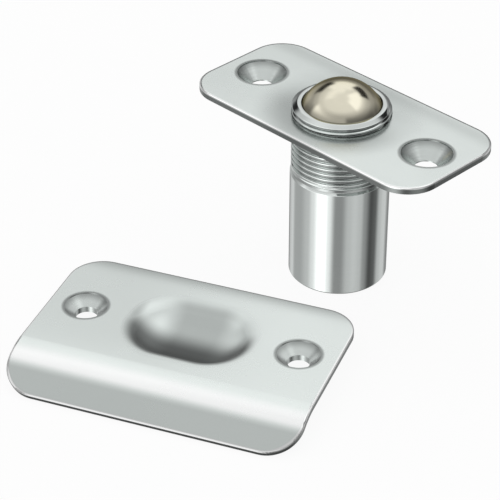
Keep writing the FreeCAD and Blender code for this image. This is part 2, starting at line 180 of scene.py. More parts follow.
class Nodes:
    """Adds nodes to a tree. A socket given as an input is linked, and anything else is set."""

    def __init__(self, tree):
        self.tree = tree
        tree.nodes.clear()

    def give(self, socket, value):
        if isinstance(value, bpy.types.NodeSocket):
            self.tree.links.new(value, socket)
        else:
            socket.default_value = value

    def add(self, kind, inputs=None, **settings):
        node = self.tree.nodes.new(kind)
        for setting, value in settings.items():
            setattr(node, setting, value)
        for socket, value in (inputs or {}).items():
            self.give(node.inputs[socket], value)
        return node

    def math(self, operation, *values):
        return self.add("ShaderNodeMath", dict(enumerate(values)), operation=operation).outputs[0]

    def times(self, first, second):
        return self.math("MULTIPLY", first, second)

    def minus(self, first, second):
        return self.math("SUBTRACT", first, second)

    def combine(self, **parts):
        return self.add("ShaderNodeCombineXYZ", parts).outputs[0]

    def split(self, vector):
        return self.add("ShaderNodeSeparateXYZ", {"Vector": vector}).outputs

    def length(self, vector):
        node = self.add("ShaderNodeVectorMath", {0: vector}, operation="LENGTH")
        return node.outputs["Value"]

    def noise(self, vector, scale, detail=3.0, roughness=0.5, distortion=0.0):
        return self.add("ShaderNodeTexNoise", {
            "Vector": vector, "Scale": scale, "Detail": detail, "Roughness": roughness,
            "Distortion": distortion}).outputs["Fac"]

    def smooth(self, value, low, high, start=0.0, end=1.0):
        """start up to low, end from high on, and a smooth S between them."""
        return self.add("ShaderNodeMapRange", {
            "Value": value, "From Min": low, "From Max": high, "To Min": start, "To Max": end,
        }, interpolation_type="SMOOTHSTEP").outputs["Result"]

    def fade(self, value, name, *ends):
        """A smooth S by its name in FADES."""
        return self.smooth(value, *FADES[name], *ends)

    def mix(self, share, first, second):
        """A colour between two colours."""
        node = self.add("ShaderNodeMix", data_type="RGBA")
        sockets = {socket.identifier: socket for socket in node.inputs}
        self.give(sockets["Factor_Float"], share)
        self.give(sockets["A_Color"], first)
        self.give(sockets["B_Color"], second)
        return next(out for out in node.outputs if out.identifier == "Result_Color")

    def blend(self, share, first, second):
        """A number between two numbers."""
        return self.add("ShaderNodeMapRange", {
            "Value": share, "To Min": first, "To Max": second}).outputs["Result"]

    def dim(self, shade, mask, level):
        """A shade, times a level where the mask is 1."""
        return self.times(shade, self.blend(mask, 1.0, level))

    def bump(self, height, distance, strength=1.0, **normal):
        return self.add("ShaderNodeBump", {
            "Height": height, "Distance": distance, "Strength": strength, **normal}).outputs[0]

    def show(self, output, share, first, second):
        """Two shaders mixed by a share, given to the tree's output."""
        mixed = self.add("ShaderNodeMixShader", {
            0: share, 1: first.outputs[0], 2: second.outputs[0]})
        self.add(output, {"Surface": mixed.outputs[0]})

    def shared(self, tree, **inputs):
        """A shared effect placed with its own values. half_length is the socket Half length."""
        node = self.add("ShaderNodeGroup", node_tree=tree)
        for name, value in inputs.items():
            self.give(node.inputs[name.replace("_", " ").capitalize()], value)
        return node.outputs


def new_material(name):
    """A material and the nodes of its empty tree."""
    material = bpy.data.materials.new(name)
    material.use_nodes = True
    return material, Nodes(material.node_tree)


def effect(inputs):
    """Makes a function that builds nodes into the shared effect of its name, made once. Its
    inputs are named with their numbers, and one with no number is a vector. The function gives
    the outputs back by name."""
    def shared_by(build):
        def tree_of():
            made = bpy.data.node_groups.get(build.__name__)
            if made:
                return made
            tree = bpy.data.node_groups.new(build.__name__, "ShaderNodeTree")
            for socket, default in inputs.items():
                kind = "NodeSocketVector" if default is None else "NodeSocketFloat"
                item = tree.interface.new_socket(socket, in_out="INPUT", socket_type=kind)
                if default is not None:
                    item.default_value = default
            nodes = Nodes(tree)
            found = build(nodes, nodes.add("NodeGroupInput").outputs)
            for socket in found:
                tree.interface.new_socket(socket, in_out="OUTPUT", socket_type="NodeSocketFloat")
            nodes.add("NodeGroupOutput", found)
            return tree
        return tree_of
    return shared_by


@effect({"Vector": None, "Lines": 9000.0, "Stretch": 40.0, "Cloud": 120.0,
         "Cloud share": 0.6})
def belt_grain(nodes, given):
    """Fine parallel lines left by a belt: noise drawn out along the first coordinate. Tone joins
    them with a slow cloud."""
    along = nodes.math("DIVIDE", given["Lines"], given["Stretch"])
    scale = nodes.combine(X=along, Y=given["Lines"], Z=given["Lines"])
    drawn = nodes.add("ShaderNodeVectorMath", {0: given["Vector"], 1: scale},
                      operation="MULTIPLY").outputs["Vector"]
    lines = nodes.noise(drawn, 1.0, detail=4.0, roughness=0.6)
    cloud = nodes.noise(given["Vector"], given["Cloud"])
    return {"Height": lines, "Tone": nodes.blend(given["Cloud share"], lines, cloud)}


@effect({"Vector": None, "Scratch scale": 260.0, "Smudge scale": 90.0})
def handling_marks(nodes, given):
    """Faint marks of handling: short scratches where warped noise crosses its middle value and a
    second noise lets them show, and smudges from that second noise."""
    warped = nodes.noise(given["Vector"], given["Scratch scale"], detail=2.0, distortion=2.5)
    gate = nodes.noise(given["Vector"], given["Smudge scale"], detail=5.0, roughness=0.6)
    away = nodes.math("ABSOLUTE", nodes.minus(warped, 0.5))
    line = nodes.fade(away, "scratch")
    return {"Scratches": nodes.times(line, nodes.fade(gate, "gate")),
            "Smudges": nodes.fade(gate, "smudge")}


@effect({"Vector": None, "Half length": 0.027, "Half width": 0.0125, "Corner": 0.006})
def inside_outline(nodes, given):
    """How far a point lies inside a rounded rectangle about the origin: the corner's radius, less
    the length of what |point| has above (half size - corner), less the larger of the two
    differences where both are below zero."""
    parts = nodes.split(given["Vector"])
    over = {}
    for axis, half in (("X", "Half length"), ("Y", "Half width")):
        flat = nodes.minus(given[half], given["Corner"])
        over[axis] = nodes.minus(nodes.math("ABSOLUTE", parts[axis]), flat)
    outside = nodes.length(nodes.combine(
        X=nodes.math("MAXIMUM", over["X"], 0.0), Y=nodes.math("MAXIMUM", over["Y"], 0.0)))
    within = nodes.math("MINIMUM", nodes.math("MAXIMUM", over["X"], over["Y"]), 0.0)
    signed = nodes.math("ADD", outside, within)
    return {"Inside": nodes.minus(given["Corner"], signed)}


@effect({"Vector": None, "Start": 0.0, "Radius": 0.01, "Angle": 0.0, "Top": 0.0})
def bent_sheet(nodes, given):
    """Depth below the upper side of a sheet that runs flat and then round a bend. With v the way
    past the start of the bend and w the height over its centre, the turn is the angle of (v, w),
    kept between 0 and the bend's angle, and the depth is the radius less v sin(turn) and
    w cos(turn). Along is the way over the sheet past the start of the bend."""
    parts = nodes.split(given["Vector"])
    v = nodes.minus(nodes.times(parts["Y"], -1.0), given["Start"])
    centre = nodes.minus(given["Top"], given["Radius"])
    w = nodes.minus(parts["Z"], centre)
    turn = nodes.math("MAXIMUM", nodes.math("ARCTAN2", v, w), 0.0)
    turn = nodes.math("MINIMUM", turn, given["Angle"])
    sine, cosine = nodes.math("SINE", turn), nodes.math("COSINE", turn)
    reach = nodes.math("MULTIPLY_ADD", v, sine, nodes.times(w, cosine))
    rest = nodes.minus(nodes.times(v, cosine), nodes.times(w, sine))
    return {"Depth": nodes.minus(given["Radius"], reach),
            "Along": nodes.math("MULTIPLY_ADD", given["Radius"], turn, rest)}


@effect({"Vector": None, "Half spacing": 0.02, "Radius": 0.0045, "Edge width": 0.0014,
         "Ring scale": 3200.0})
def countersinks(nodes, given):
    """Two cones cut by a turning tool on the first axis, the same way out on both sides. Cone is
    1 inside the radius, Edge is 1 at the radius and fades out inwards over its width and outwards
    over a third of it, and Rings is noise that changes only with the way from the cone's axis
    and with the height."""
    parts = nodes.split(given["Vector"])
    x = nodes.minus(nodes.math("ABSOLUTE", parts["X"]), given["Half spacing"])
    away = nodes.length(nodes.combine(X=x, Y=parts["Y"]))
    over = nodes.minus(away, given["Radius"])
    place = nodes.combine(X=away, Y=parts["Z"])
    near = nodes.math("MAXIMUM", nodes.times(over, 3.0), nodes.times(over, -1.0))
    return {"Cone": nodes.smooth(over, -SHARP, SHARP, 1.0, 0.0),
            "Edge": nodes.smooth(near, 0.0, given["Edge width"], 1.0, 0.0),
            "Rings": nodes.noise(place, given["Ring scale"], detail=2.0, roughness=0.6)}


@effect({"Azimuth": 0.0, "Elevation": 0.0, "Middle azimuth": 0.0, "Middle elevation": 0.0,
         "Half width": 10.0, "Half height": 10.0, "Soft": 8.0})
def studio_panel(nodes, given):
    """A soft-edged panel in the studio's surround, placed by azimuth and elevation in degrees."""
    rise = nodes.minus(given["Elevation"], given["Middle elevation"])
    turn = nodes.minus(given["Azimuth"], given["Middle azimuth"])
    aside = nodes.math("ABSOLUTE", nodes.math("WRAP", turn, 180.0, -180.0))
    mask = None
    for away, half in ((aside, "Half width"), (nodes.math("ABSOLUTE", rise), "Half height")):
        edge = nodes.minus(given[half], away)
        side = nodes.smooth(edge, nodes.times(given["Soft"], -0.5),
                            nodes.times(given["Soft"], 0.5))
        mask = nodes.times(mask, side) if mask else side
    return {"Mask": mask}


# Metals

class Metal:
    """A metal whose shader stands ready, with its nodes and the coordinates of its object."""

    def __init__(self, name, colour, roughness):
        self.material, self.nodes = new_material(name)
        self.shader = self.nodes.add("ShaderNodeBsdfPrincipled", {
            "Base Color": (*colour, 1.0), "Metallic": 1.0, "Roughness": roughness})
        self.nodes.add("ShaderNodeOutputMaterial", {"Surface": self.shader.outputs["BSDF"]})
        self.place = self.nodes.add("ShaderNodeTexCoord").outputs["Object"]
        self.colour, self.roughness = colour, roughness

    def feed(self, socket, source):
        self.nodes.tree.links.new(source, self.shader.inputs[socket])

    def toned(self, share, tone, shade=None, bright=None):
        """The metal's colour, darker by up to the share where the tone is 0, lighter at 1,
        nearer to white where it is bright and times a shade, where those are given."""
        dark = tuple(part * (1 - share) for part in self.colour)
        light = tuple(min(part * (1 + share), 1.0) for part in self.colour)
        colour = self.nodes.mix(tone, (*dark, 1.0), (*light, 1.0))
        if bright:
            colour = self.nodes.mix(bright, colour, WHITE)
        if shade:
            colour = self.nodes.mix(shade, BLACK, colour)
        self.feed("Base Color", colour)

    def marked(self, place, smudge, scratch, share=None):
        """Roughness with the marks of handling, times a share where one is given."""
        marks = self.nodes.shared(handling_marks(), vector=place)
        rough = self.nodes.math("MULTIPLY_ADD", marks["Smudges"], smudge,
                                self.roughness - smudge / 2)
        rough = self.nodes.math("MULTIPLY_ADD", marks["Scratches"], scratch, rough)
        self.feed("Roughness", self.nodes.times(rough, share) if share else rough)


def plated_sheet(name, finish, plate):
    """Satin plated sheet: a fine grain along the plate, faint marks, a back edge that rolls over
    a little, a rounded rim with a painted highlight, a painted shade on the cut edge, and
    countersinks with the tool's rings and a painted shade in their cones and round their rims.
    A bend gets a painted highlight and a lip a painted shade; a faceplate gets a painted shade
    round the barrel, most in front of it; a dimple gets a painted shade inside, none at its
    ends, a painted shadow on its near half and left end, and rougher plating."""
    metal = Metal(name, finish.plate_colour, finish.plate_roughness)
    nodes = metal.nodes
    local = nodes.add("ShaderNodeMapping", {
        "Vector": metal.place, "Location": (*plate["centre"], 0.0),
        "Rotation": (0.0, 0.0, plate["turn"])}, vector_type="TEXTURE").outputs[0]
    middle = nodes.add("ShaderNodeVectorMath", {0: local, 1: (0.0, plate["shift"], 0.0)},
                       operation="SUBTRACT").outputs["Vector"]
    grain = nodes.shared(belt_grain(), vector=local)
    inside = nodes.shared(inside_outline(), vector=middle, half_length=plate["half_length"],
                          half_width=plate["half_width"], corner=plate["corner"])["Inside"]
    sheet = nodes.shared(bent_sheet(), vector=local, **plate["bend"])
    sinks = nodes.shared(countersinks(), vector=local, **plate["sinks"])
    sheared = nodes.times(nodes.fade(sheet["Depth"], "sheared depth"),
                          nodes.fade(inside, "outer band"))
    rim = nodes.times(nodes.fade(sheet["Depth"], "rim depth"), nodes.fade(inside, "rim band"))
    # Painted shade: the countersinks' cones are darker in colour.
    shade = nodes.dim(1.0, sinks["Cone"], finish.sink_painted_shade)
    # Painted shade: a dark ring in the colour at the countersinks' rims, inside them and a little
    # outside.
    shade = nodes.dim(shade, sinks["Edge"], finish.sink_edge_painted_shade)
    # Painted shade: the cut edges, the plates' sides, are darker in colour.
    shade = nodes.dim(shade, sheared, finish.cut_edge_painted_shade)
    polish = nodes.blend(rim, 1.0, finish.rim_polish)
    # Painted highlight: the rounded rim's colour goes nearer to white.
    bright = nodes.times(rim, finish.rim_painted_highlight)
    if "lip" in plate:
        past = nodes.minus(sheet["Along"], plate["lip"])
        # Painted shade: past the bend the lip is darker in colour.
        shade = nodes.dim(shade, nodes.fade(past, "painted lip shade"), finish.lip_painted_shade)
        # Painted highlight: near the end of the bend the colour goes nearer to white.
        drawn = nodes.times(nodes.fade(past, "bend highlight start"), nodes.fade(past, "bend highlight end"))
        bright = nodes.math("MAXIMUM", bright, nodes.times(drawn, finish.bend_painted_highlight))
    parts = nodes.split(local)
    if "barrel" in plate:
        # Painted shade: round the barrel the faceplate is darker in colour, most in front of it.
        away = nodes.length(nodes.combine(X=parts["X"], Y=parts["Y"]))
        ring_painted_shade = nodes.smooth(away, plate["barrel"], plate["barrel"] + finish.collar_fade, 1.0, 0.0)
        ring_painted_shade = nodes.times(ring_painted_shade, nodes.fade(parts["Y"], "collar front"))
        shade = nodes.dim(shade, ring_painted_shade, finish.collar_painted_shade)
    if "dimple" in plate:
        pressed = nodes.shared(inside_outline(), vector=local, **plate["dimple"])["Inside"]
        # Painted shade: the dimple's inside is darker in colour, fading to none towards its two
        # ends, and its plating is rougher.
        shaded = nodes.smooth(pressed, 0.0, finish.dimple_fade)
        # Painted shadow: the dimple's near half, on the lip's side, and its left end are darker
        # still.
        near_side_shadow = nodes.times(shaded, nodes.math(
            "MAXIMUM", nodes.fade(parts["Y"], "dimple near half"),
            nodes.fade(parts["X"], "dimple end")))
        middle_shade = nodes.fade(nodes.math("ABSOLUTE", parts["X"]), "dimple middle",
                                  finish.dimple_painted_shade, 1.0)
        shade = nodes.dim(shade, shaded, middle_shade)
        shade = nodes.dim(shade, near_side_shadow, finish.entry_painted_shadow)
        polish = nodes.dim(polish, shaded, finish.dimple_dull)
    # The shade and the brightness here carry the painted shades, the painted shadow and the painted
    # highlights above.
    metal.toned(share=0.03, tone=grain["Tone"], shade=shade, bright=bright)
    metal.marked(local, smudge=0.04, scratch=0.015, share=polish)
    bare = nodes.minus(1.0, sinks["Cone"])
    back = nodes.minus(plate["half_width"], nodes.split(middle)["Y"])
    fold = nodes.math("POWER", nodes.smooth(back, 0.0, finish.roll_width, 1.0, 0.0), 2.0)
    rolled = nodes.bump(nodes.minus(1.0, fold), finish.roll_drop)
    over = nodes.math("POWER", nodes.smooth(inside, 0.0, finish.rim_width, 1.0, 0.0), 2.0)
    rounded = nodes.bump(nodes.minus(1.0, over), finish.rim_drop, Normal=rolled)
    fine = nodes.bump(nodes.times(grain["Height"], bare), finish.grain_depth,
                      strength=0.5, Normal=rounded)
    cut = nodes.bump(nodes.times(sinks["Rings"], sinks["Cone"]), finish.ring_depth, Normal=fine)
    metal.feed("Normal", cut)
    return metal.material


def turned_metal(name, colour, roughness, finish, groove=None):
    """Turned metal: the tool's grooves run round the axis, so they change only with z and with
    the distance from the axis, and faint marks lie over them. Below the top, a painted shade
    darkens a groove between a root and a crest radius towards its root. Above it, the flat of
    the mouth has a painted shade of its own at least."""
    metal = Metal(name, colour, roughness)
    nodes = metal.nodes
    parts = nodes.split(metal.place)
    away = nodes.length(nodes.combine(X=parts["X"], Y=parts["Y"]))
    tool = nodes.noise(nodes.combine(X=away, Y=parts["Z"]), finish.tool_lines, roughness=0.55)
    shade = None
    if groove:
        # Painted shade: the thread's grooves are darker in colour towards their roots.
        deep = nodes.smooth(away, groove["root"], groove["crest"], finish.groove_painted_shade, 1.0)
        # Painted shade: the flat of the mouth round the ball is darker in colour.
        above = nodes.smooth(parts["Z"], groove["top"] - SHARP, groove["top"], 0.0,
                             finish.mouth_painted_shade)
        shade = nodes.math("MAXIMUM", deep, above)
    metal.toned(share=0.025, tone=tool, shade=shade)
    metal.marked(metal.place, smudge=0.04, scratch=0.10)
    metal.feed("Normal", nodes.bump(tool, finish.tool_depth, strength=0.5))
    return metal.material


def polished_metal(name, colour, roughness, cloud, edge=(1.0, 1.0, 1.0), seat=None):
    """Polished metal with a slow cloud of tone and faint marks. The edge colour is what its
    rim reflects where it is seen at a slant. Where a seat is given, a painted shadow darkens
    the metal from its clear height down to its foot."""
    metal = Metal(name, colour, roughness)
    nodes = metal.nodes
    metal.shader.inputs["Specular Tint"].default_value = (*edge, 1.0)
    shade = None
    # Painted shadow: the ball is darker in colour down towards its seat.
    if seat:
        shade = nodes.smooth(nodes.split(metal.place)["Z"], seat["foot"], seat["clear"],
                             seat["shade"], 1.0)
    metal.toned(share=0.03, tone=nodes.noise(metal.place, cloud, detail=4.0), shade=shade)
    metal.marked(metal.place, smudge=0.03, scratch=0.06)
    return metal.material


# Settings

def number(name, description, default, **kind):
    return bpy.props.FloatProperty(name=name, description=description, default=default, **kind)


def length(name, description, millimetres):
    """A length that is kept in metres and shown in the scene's unit."""
    return number(name, description, millimetres / 1000, precision=6, unit="LENGTH")


def share(name, description, default):
    return number(name, description, default, min=0, max=1, subtype="FACTOR")


def colour(name, description, default):
    return bpy.props.FloatVectorProperty(
        name=name, description=description, default=default, min=0, max=1, subtype="COLOR")


class CatchSizes(bpy.types.PropertyGroup):
    """Sizes of the barrel, its thread, the spring and the plates' outlines."""

    thread_pitch: length("Thread pitch", "Rise of the thread in one turn", 1.0583)
    thread_depth: length("Thread depth", "From the crest to the root", 0.5)
    thread_crest: length("Crest width", "Flat left on top of each thread", 0.2)
    thread_root: length("Root width", "Flat at the bottom of the groove", 0.16)
    thread_length: length("Thread length", "From the mouth down to the relief", 13.45)
    thread_start: length("First groove", "Below the mouth, on the side seen first", 0.85)
    thread_ease: length("Thread ease", "How far the crests lie inside the barrel", 0.15)
    relief_width: length("Relief width", "Plain neck below the thread", 0.5)
    relief_depth: length("Relief depth", "How far the neck lies inside the crests", 0.25)
    mouth_width: length("Mouth bevel width", "Bevel round the mouth, across", 1.0)
    mouth_drop: length("Mouth bevel drop", "Bevel round the mouth, down", 0.4)
    foot_bevel: length("Foot bevel", "Bevel round the foot", 0.35)
    wall: length("Wall", "Thickness of the barrel's wall", 1.0)
    lip_hold: length("Lip", "How far the lip reaches over the ball", 1.0)
    plug_step: length("Plug step", "How much wider the seat of the plug is", 0.35)
    plug_depth: length("Plug depth", "Depth of the seat of the plug", 2.0)
    ease: length("Edge rounding", "Rounding of the barrel's sharp edges", 0.06)
    wire_radius: length("Wire radius", "Half the thickness of the spring's wire", 0.5)
    coil_turns: number("Spring turns", "Turns of wire from end to end", 4.5)
    closed_turns: number("Closed turns", "Turns that lie close at each end", 0.75)
    ball_travel: length("Ball travel", "How far the ball goes down into the barrel", 4.06)
    face_length: length("Faceplate length", "Along the faceplate", 54.0)
    face_width: length("Faceplate width", "Across the faceplate", 25.0)
    face_corner: length("Faceplate corner", "Radius of the faceplate's corners", 6.35)
    strike_length: length("Strike length", "Along the strike plate", 53.4)
    strike_back: length("Strike back", "From the dimple's middle to the back edge", 14.2)
    strike_corner: length("Strike corner", "Radius of the strike plate's corners", 6.2)
    bend_reach: length("Bend start", "From the dimple's middle to the bend", 11.9)
    bend_radius: length("Bend radius", "Outside the bend of the lip", 10.5)
    bend_angle: number("Bend angle", "How far the lip is bent down", math.radians(28),
                       unit="ROTATION")
    lip_length: length("Lip length", "Flat of the lip past its bend", 6.0)
    screw_spacing: length("Screw spacing", "Between the two screws of a plate", 39.7)
    face_sink: length("Faceplate sink", "Radius of its countersinks with their step", 4.75)
    strike_sink: length("Strike sink", "Radius of its countersinks with their step", 4.05)
    dimple_length: length("Dimple length", "Along the strike plate's dimple", 25.0)
    dimple_width: length("Dimple width", "Across the strike plate's dimple", 18.8)
    dimple_corner: length("Dimple corner", "Radius of the dimple's ends", 8.7)
    strike_place: bpy.props.FloatVectorProperty(
        name="Strike place", description="Middle of the strike plate's dimple",
        default=(0.00027, -0.0373), size=2, precision=6, unit="LENGTH")
    strike_turn: number("Strike turn", "How the strike plate is turned about Z",
                        math.radians(24.5), unit="ROTATION")


class CatchFinish(bpy.types.PropertyGroup):
    """Colours and finishes of the metals."""

    plate_colour: colour("Plates", "Satin plating of both plates", (0.78, 0.83, 0.81))
    plate_roughness: share("Plate roughness", "How satin the plates are", 0.26)
    grain_depth: length("Grain depth", "Depth of the lines left by the belt", 0.002)
    roll_width: length("Rolled edge width", "How far in the plates' back edge rolls", 6.0)
    roll_drop: length("Rolled edge drop", "How far down the plates' back edge rolls", 0.12)
    rim_width: length("Rim width", "How far in the plates' edges are rounded", 0.6)
    rim_drop: length("Rim drop", "How far down the plates' edges are rounded", 0.12)
    # Painted shade on the plates' cut edges.
    cut_edge_painted_shade: share("Sheared edge", "Brightness of the plates' cut edges", 0.36)
    # Painted shade in the countersinks' cones.
    sink_painted_shade: share("Countersink shade", "Brightness of the cut cones", 0.82)
    # Painted shade round the countersinks' rims.
    sink_edge_painted_shade: share("Countersink edge", "Brightness of the cones' edges", 0.5)
    # Painted highlight on the plates' rounded rims.
    rim_painted_highlight: share("Rim shine", "How far the plates' rounded rims are nearer to white", 0.9)
    rim_polish: share("Rim polish", "Roughness of the rounded rims, to the plate's", 0.65)
    # Painted highlight along the strike plate's bend.
    bend_painted_highlight: share("Bend shine", "How far the bend's painted highlight is nearer to white", 0.8)
    # Painted shade on the strike plate's lip.
    lip_painted_shade: share("Lip shade", "Brightness of the painted lip shade", 0.65)
    # Painted shade on the faceplate round the barrel.
    collar_painted_shade: share("Collar shade", "Brightness of the faceplate at the barrel", 0.55)
    collar_fade: length("Collar fade", "How far from the barrel the painted shade reaches", 7.5)
    # Painted shade inside the strike plate's dimple.
    dimple_painted_shade: share("Dimple shade", "Brightness of the worn plating in the dimple", 0.64)
    # Painted shadow on the dimple's near half.
    entry_painted_shadow: share("Entry shade", "Brightness of the painted shadow on the dimple's near half", 0.25)
    dimple_dull: number("Dimple dullness", "Roughness of the worn plating, to the plate's", 1.7)
    dimple_fade: length("Dimple fade", "Over how far the dimple's painted shade fades in", 2.5)
    ring_depth: length("Ring depth", "Depth of the rings cut in the cones", 0.02)
    barrel_colour: colour("Barrel", "Polished plating of the barrel", (0.79, 0.83, 0.815))
    barrel_roughness: share("Barrel roughness", "How polished the barrel is", 0.10)
    tool_lines: number("Tool lines", "Lines left by the turning tool in a metre", 2600.0)
    tool_depth: length("Tool depth", "Depth of the turning tool's lines", 0.0015)
    # Painted shade on the flat round the ball.
    mouth_painted_shade: share("Mouth shade", "Brightness of the flat round the ball", 0.80)
    # Painted shade in the thread's roots.
    groove_painted_shade: share("Groove shade", "Brightness of the thread's root", 0.40)
    ball_colour: colour("Ball", "Warm plating of the ball", (0.80, 0.76, 0.62))
    ball_edge: colour("Ball rim", "What the ball's rim reflects", (0.66, 0.60, 0.42))
    ball_roughness: share("Ball roughness", "How polished the ball is", 0.13)
    # Painted shadow on the ball above its seat.
    seat_painted_shadow: share("Seat shade", "Brightness of the painted shadow on the ball above its seat", 0.35)
    seat_fade: length("Seat fade", "How far above its seat the ball is darker", 1.7)
    plug_colour: colour("End plug", "Brass of the end plug", (0.74, 0.64, 0.42))
    spring_colour: colour("Spring", "Drawn steel of the spring", (0.62, 0.63, 0.64))


class CatchStage(bpy.types.PropertyGroup):
    """Camera, floor and light."""

    camera_place: bpy.props.FloatVectorProperty(
        name="Camera place", description="Where the camera stands",
        default=(0.2052, -0.2250, 0.2095), subtype="TRANSLATION")
    camera_turn: bpy.props.FloatVectorProperty(
        name="Camera turn", description="How the camera is turned",
        default=(math.radians(55.92), 0.0, math.radians(45.4)), subtype="EULER")
    lens: number("Lens", "Focal length, in millimetres on a 36 mm sensor", 143.67)
    floor_colour: colour("Floor", "Pale floor", (0.93, 0.93, 0.93))
    floor_veil: share("Floor veil", "How much of the floor the camera sees as plain white", 0.92)
    card_distance: length("Card distance", "From the barrel's axis to the pale card", 18.7)
    card_left: length("Card left end", "Along the card from its middle", -70.0)
    card_right: length("Card right end", "Along the card from its middle", 55.0)
    card_low: length("Card foot", "Height up to which the card is dark", 4.8)
    card_high: length("Card top", "Height of the card's upper edge", 31.0)
    card_blend: length("Card blend", "Height over which the dark foot turns pale", 3.5)
    card_level: number("Card level", "Brightness of the pale card", 0.92)
    card_end: number("Card end level", "Brightness of the card's left end", 0.76)
    card_foot: number("Card foot level", "Brightness of the card's dark foot", 0.26)
    lamp_power: number("Lamp", "Power of the soft lamp over the set", 0.25, unit="POWER")


# Barrel, ball and spring

def barrel_outline(sizes, rows=18, seat_rows=16):
    """The section of the barrel's wall as points (r, z): up the outside, with a row for each
    eighteenth of a pitch where the thread lies, over the mouth, round the seat of the ball,
    whose arc has the bore's radius, and down the bore to the seat of the plug."""
    low, top, radius = BARREL_LOW.z, BARREL_HIGH.z, BARREL_HIGH.x
    crest, bore = radius - sizes.thread_ease, radius - sizes.wall
    neck, lip = crest - sizes.relief_depth, bore - sizes.lip_hold
    end = top - sizes.thread_length
    shoulder = end - (radius - neck)
    ease = sizes.ease
    run_out = end + sizes.relief_width + sizes.relief_depth
    height = np.arange(run_out + 3 * ease, top - sizes.mouth_drop - 4 * ease,
                       sizes.thread_pitch / rows)
    thread = np.stack([np.full_like(height, crest), height, np.zeros_like(height)], axis=1)
    angle = np.linspace(math.asin(lip / bore), math.pi / 2, seat_rows)[2:]
    centre = top - math.sqrt(bore ** 2 - lip ** 2)
    seat = np.stack([bore * np.sin(angle), centre + bore * np.cos(angle), 0 * angle], axis=1)
    plug, depth = bore + sizes.plug_step, low + sizes.plug_depth
    corners = np.concatenate([
        [(plug, low, ease),
         (radius - sizes.foot_bevel, low, ease),
         (radius, low + sizes.foot_bevel, 2 * ease),
         (radius, shoulder, ease),
         (neck, end, ease),
         (neck, end + sizes.relief_width, ease),
         (crest, run_out, ease)],
        thread,
        [(crest, top - sizes.mouth_drop, 2 * ease),
         (crest - sizes.mouth_width, top, 3 * ease),
         (lip, top, 5 * ease)],
        seat,
        [(bore, depth, ease),
         (plug, depth, ease)],
    ])
    return rounded_outline(corners), run_out


def thread_cut(angle, height, sizes, run_out, facing, straight=0.6, fade=0.6):
    """Depth of the helical groove. The way to the groove's middle along the axis is the height,
    less where the groove starts, less the pitch times the share of a turn, wrapped to one
    pitch. The groove has its full depth within half the root's width of its middle and none
    beyond half of what the crest leaves of the pitch. Its flanks between the two are part
    straight and part a smooth S, and it fades out over a share of the pitch above the relief."""
    pitch = sizes.thread_pitch
    turn = (angle - facing) / math.tau
    along = height - (BARREL_HIGH.z - sizes.thread_start) - pitch * turn
    away = np.abs((along + pitch / 2) % pitch - pitch / 2)
    outer = (pitch - sizes.thread_crest) / 2
    share_cut = np.clip((outer - away) / (outer - sizes.thread_root / 2), 0, 1)
    eased = straight * share_cut + (1 - straight) * ramp(share_cut, 0, 1)
    return sizes.thread_depth * eased * ramp(height, run_out, run_out + fade * pitch)


def barrel_shape(sizes, facing, around=288):
    """The barrel's section carried round the axis, with the helical groove cut into the rows
    outside the crests' foot and above the relief."""
    outline, run_out = barrel_outline(sizes)
    crest = BARREL_HIGH.x - sizes.thread_ease
    angle = np.linspace(0, math.tau, around, endpoint=False)
    r = np.repeat(outline[:, :1], around, axis=1)
    z = np.repeat(outline[:, 1:], around, axis=1)
    cut = thread_cut(angle, z, sizes, run_out, facing)
    threaded = (r > crest - sizes.thread_depth) & (z > run_out)
    r = np.where(threaded, np.minimum(r, crest - cut), r)
    return closed_loop(np.stack([r * np.cos(angle), r * np.sin(angle), z], axis=-1))


def ball_shape(rings=72, around=144):
    """A sphere: rings at even angles from the lower pole, each ring's radius the sine of its
    angle and its height minus the cosine, closed by a point at each pole."""
    centre, radius = (BALL_LOW + BALL_HIGH) / 2, (BALL_HIGH.z - BALL_LOW.z) / 2
    tilt = np.linspace(0, math.pi, rings + 2)[1:-1, None]
    angle = np.linspace(0, math.tau, around, endpoint=False)
    points = np.stack([np.sin(tilt) * np.cos(angle), np.sin(tilt) * np.sin(angle),
                       -np.cos(tilt) * np.ones_like(angle)], axis=-1)
    down, up = np.array((0, 0, -radius)), np.array((0, 0, radius))
    return capped_tube(points * radius + centre, down + centre, up + centre)


def spring_shape(sizes, per_turn=56, around=18, clear=0.00005, tip=3, least=0.05):
    """A round wire carried along a coil, a little clear of the spring's box. The coil rises by a
    twentieth more than the wire's thickness a turn in its closed ends and evenly between them,
    and the wire narrows over the steps at its tips as a quarter circle does."""
    wire = sizes.wire_radius
    coil = SPRING_HIGH.x - wire - clear
    foot, head = SPRING_LOW.z + wire, SPRING_HIGH.z - wire
    steps = int(sizes.coil_turns * per_turn)
    turn = np.linspace(0, sizes.coil_turns, steps)
    shut = 2.1 * wire
    low = np.minimum(turn, sizes.closed_turns)
    high = np.maximum(turn - (sizes.coil_turns - sizes.closed_turns), 0)
    open_turns = sizes.coil_turns - 2 * sizes.closed_turns
    pitch = (head - foot - 2 * sizes.closed_turns * shut) / open_turns
    height = foot + shut * (low + high) + pitch * (turn - low - high)
    out = np.stack([np.cos(turn * math.tau), np.sin(turn * math.tau), 0 * turn], axis=-1)
    line = out * coil + height[:, None] * np.array((0, 0, 1))
    side = np.cross(unit(np.gradient(line, axis=0)), out)
    near_end = np.minimum(np.arange(steps), steps - 1 - np.arange(steps)) / tip
    size = wire * np.sqrt(1 - (1 - np.clip(near_end, least, 1)) ** 2)
    angle = np.linspace(0, math.tau, around, endpoint=False)
    ring = (out[:, None] * np.cos(angle)[None, :, None]
            + side[:, None] * np.sin(angle)[None, :, None])
    return capped_tube(line[:, None] + ring * size[:, None, None], line[0], line[-1])


# Operators

